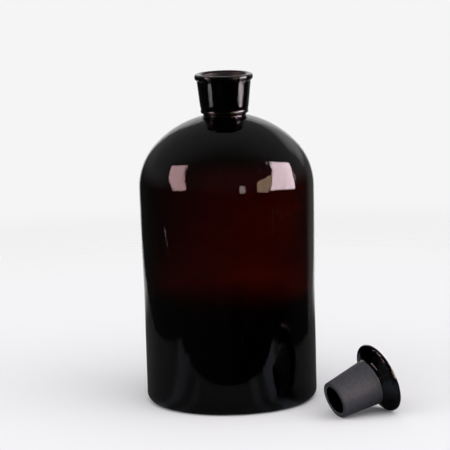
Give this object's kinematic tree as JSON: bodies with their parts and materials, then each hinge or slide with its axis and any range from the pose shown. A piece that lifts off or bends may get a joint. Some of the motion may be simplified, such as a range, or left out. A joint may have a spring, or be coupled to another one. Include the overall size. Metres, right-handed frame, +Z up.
{
  "type": "reagent bottle",
  "caption": "Large domed amber glass reagent bottle for keeping light-sensitive chemicals, with a loose hollow ground-glass stopper that seals its tapered neck.",
  "frame": {"origin": "centre of the bottle's foot, on the surface that it stands on", "axes": "+Z up the bottle's axis; -Y is the front of the pair; the stopper lies on the surface towards +X and -Y"},
  "size_m": [0.3121, 0.2564, 0.408],
  "materials": {
    "amber_glass": "fire polished, nearly black red-brown amber glass; finely ground inside the neck",
    "stopper_glass": "polished head, finely ground grey plug and end face"
  },
  "bodies": {
    "bottle": {"bottle": "amber_glass"},
    "stopper": {"stopper": "stopper_glass"}
  },
  "joints": [
    {"name": "stopper_lift", "type": "slide", "parent": "bottle", "child": "stopper", "axis": [0, 0, 1], "range_m": [0, 0.45]}
  ]
}
